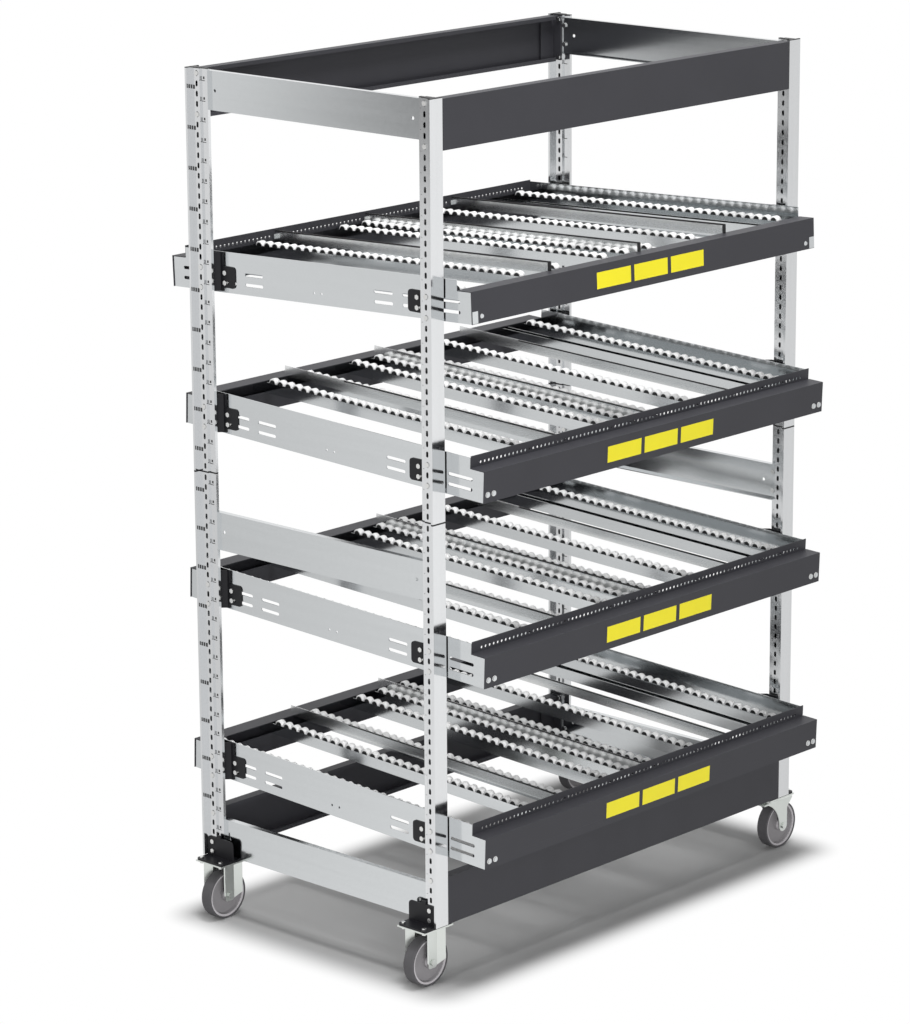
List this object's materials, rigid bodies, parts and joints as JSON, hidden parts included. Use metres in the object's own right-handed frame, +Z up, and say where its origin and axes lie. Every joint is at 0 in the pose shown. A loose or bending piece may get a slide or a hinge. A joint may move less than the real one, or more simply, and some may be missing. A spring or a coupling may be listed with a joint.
{
  "type": "mobile tilting shelf rack",
  "caption": "Tall wheeled rack of slotted posts with tilted roller shelves on bolted brackets, fixed casters on one side and swivel casters on the other.",
  "frame": {"origin": "on the floor, under the middle of the rack's bounding box", "axes": "+X to the right along the shelves, +Y to the back, +Z up"},
  "size_m": [1.487, 1.0448, 2.166],
  "materials": {
    "post_zinc": "smooth bright galvanised sheet",
    "sheet_zinc": "galvanised sheet with faint spangle",
    "bolt_zinc": "zinc plated",
    "caster_zinc": "zinc plated pressing",
    "charcoal_paint": "fine textured charcoal powder coat",
    "black_paint": "black powder coat",
    "black_plastic": "matt black plastic",
    "roller_plastic": "smooth white plastic",
    "hub_plastic": "light grey plastic",
    "tread_rubber": "dark grey rubber"
  },
  "bodies": {
    "frame": {"post_front_left": "post_zinc", "post_front_right": "post_zinc", "post_rear_left": "post_zinc", "post_rear_right": "post_zinc", "post_splices": "black_plastic", "post_caps": "black_plastic", "top_front_beam": "charcoal_paint", "top_rear_beam": "charcoal_paint", "bottom_front_beam": "charcoal_paint", "bottom_rear_beam": "charcoal_paint", "side_braces": "sheet_zinc", "corner_brackets": "black_paint", "frame_bolts": "bolt_zinc", "pivot_brackets": "black_paint", "pivot_bolts": "bolt_zinc", "fixed_caster_forks": "caster_zinc", "swivel_plates": "caster_zinc"},
    "shelf1": {"shelf1_side_plates": "sheet_zinc", "shelf1_low_beam": "charcoal_paint", "shelf1_high_beam": "charcoal_paint", "shelf1_rails": "sheet_zinc", "shelf1_rollers": "roller_plastic", "shelf1_dividers": "sheet_zinc"},
    "shelf1_bracket_pair": {"shelf1_low_brackets": "black_paint", "shelf1_clamp_bolts": "bolt_zinc"},
    "shelf2": {"shelf2_side_plates": "sheet_zinc", "shelf2_low_beam": "charcoal_paint", "shelf2_high_beam": "charcoal_paint", "shelf2_rails": "sheet_zinc", "shelf2_rollers": "roller_plastic", "shelf2_dividers": "sheet_zinc"},
    "shelf2_bracket_pair": {"shelf2_low_brackets": "black_paint", "shelf2_clamp_bolts": "bolt_zinc"},
    "shelf3": {"shelf3_side_plates": "sheet_zinc", "shelf3_low_beam": "charcoal_paint", "shelf3_high_beam": "charcoal_paint", "shelf3_rails": "sheet_zinc", "shelf3_rollers": "roller_plastic", "shelf3_dividers": "sheet_zinc"},
    "shelf3_bracket_pair": {"shelf3_low_brackets": "black_paint", "shelf3_clamp_bolts": "bolt_zinc"},
    "shelf4": {"shelf4_side_plates": "sheet_zinc", "shelf4_low_beam": "charcoal_paint", "shelf4_high_beam": "charcoal_paint", "shelf4_rails": "sheet_zinc", "shelf4_rollers": "roller_plastic", "shelf4_dividers": "sheet_zinc"},
    "shelf4_bracket_pair": {"shelf4_low_brackets": "black_paint", "shelf4_clamp_bolts": "bolt_zinc"},
    "swivel_front": {"swivel_fork_front": "caster_zinc"},
    "swivel_rear": {"swivel_fork_rear": "caster_zinc"},
    "wheel_front_left": {"wheel_hub_front_left": "hub_plastic", "wheel_tyre_front_left": "tread_rubber"},
    "wheel_front_right": {"wheel_hub_front_right": "hub_plastic", "wheel_tyre_front_right": "tread_rubber"},
    "wheel_rear_left": {"wheel_hub_rear_left": "hub_plastic", "wheel_tyre_rear_left": "tread_rubber"},
    "wheel_rear_right": {"wheel_hub_rear_right": "hub_plastic", "wheel_tyre_rear_right": "tread_rubber"}
  },
  "joints": [
    {"name": "shelf1_tilt", "type": "hinge", "parent": "frame", "child": "shelf1", "pos_m": [-0.0175, -0.31451, 1.69], "axis": [-1, 0, 0], "range_deg": [-2.22, 2.22]},
    {"name": "shelf1_bracket_slide", "type": "slide", "parent": "frame", "child": "shelf1_bracket_pair", "axis": [0, 0, -1], "range_m": [-0.0252, 0.0252]},
    {"name": "shelf2_tilt", "type": "hinge", "parent": "frame", "child": "shelf2", "pos_m": [-0.0175, 0.33149, 1.31], "axis": [1, 0, 0], "range_deg": [-2.22, 2.22]},
    {"name": "shelf2_bracket_slide", "type": "slide", "parent": "frame", "child": "shelf2_bracket_pair", "axis": [0, 0, -1], "range_m": [-0.0252, 0.0252]},
    {"name": "shelf3_tilt", "type": "hinge", "parent": "frame", "child": "shelf3", "pos_m": [-0.0175, 0.33149, 0.86], "axis": [1, 0, 0], "range_deg": [-2.22, 2.22]},
    {"name": "shelf3_bracket_slide", "type": "slide", "parent": "frame", "child": "shelf3_bracket_pair", "axis": [0, 0, -1], "range_m": [-0.0252, 0.0252]},
    {"name": "shelf4_tilt", "type": "hinge", "parent": "frame", "child": "shelf4", "pos_m": [-0.0175, 0.33149, 0.41], "axis": [1, 0, 0], "range_deg": [-2.22, 2.22]},
    {"name": "shelf4_bracket_slide", "type": "slide", "parent": "frame", "child": "shelf4_bracket_pair", "axis": [0, 0, -1], "range_m": [-0.0252, 0.0252]},
    {"name": "swivel_front_turn", "type": "hinge", "parent": "frame", "child": "swivel_front", "pos_m": [0.646, -0.34451, 0.138], "axis": [0, 0, 1], "continuous": true},
    {"name": "swivel_rear_turn", "type": "hinge", "parent": "frame", "child": "swivel_rear", "pos_m": [0.646, 0.36149, 0.138], "axis": [0, 0, 1], "continuous": true},
    {"name": "wheel_front_left_spin", "type": "hinge", "parent": "frame", "child": "wheel_front_left", "pos_m": [-0.681, -0.34451, 0.0625], "axis": [0, 1, 0], "continuous": true},
    {"name": "wheel_front_right_spin", "type": "hinge", "parent": "swivel_front", "child": "wheel_front_right", "pos_m": [0.681, -0.34451, 0.0625], "axis": [0, 1, 0], "continuous": true},
    {"name": "wheel_rear_left_spin", "type": "hinge", "parent": "frame", "child": "wheel_rear_left", "pos_m": [-0.681, 0.36149, 0.0625], "axis": [0, 1, 0], "continuous": true},
    {"name": "wheel_rear_right_spin", "type": "hinge", "parent": "swivel_rear", "child": "wheel_rear_right", "pos_m": [0.681, 0.36149, 0.0625], "axis": [0, 1, 0], "continuous": true}
  ],
  "couplings": [
    {"joint": "shelf1_bracket_slide", "follows": "shelf1_tilt", "m_per_rad": 0.648},
    {"joint": "shelf2_bracket_slide", "follows": "shelf2_tilt", "m_per_rad": 0.648},
    {"joint": "shelf3_bracket_slide", "follows": "shelf3_tilt", "m_per_rad": 0.648},
    {"joint": "shelf4_bracket_slide", "follows": "shelf4_tilt", "m_per_rad": 0.648}
  ]
}
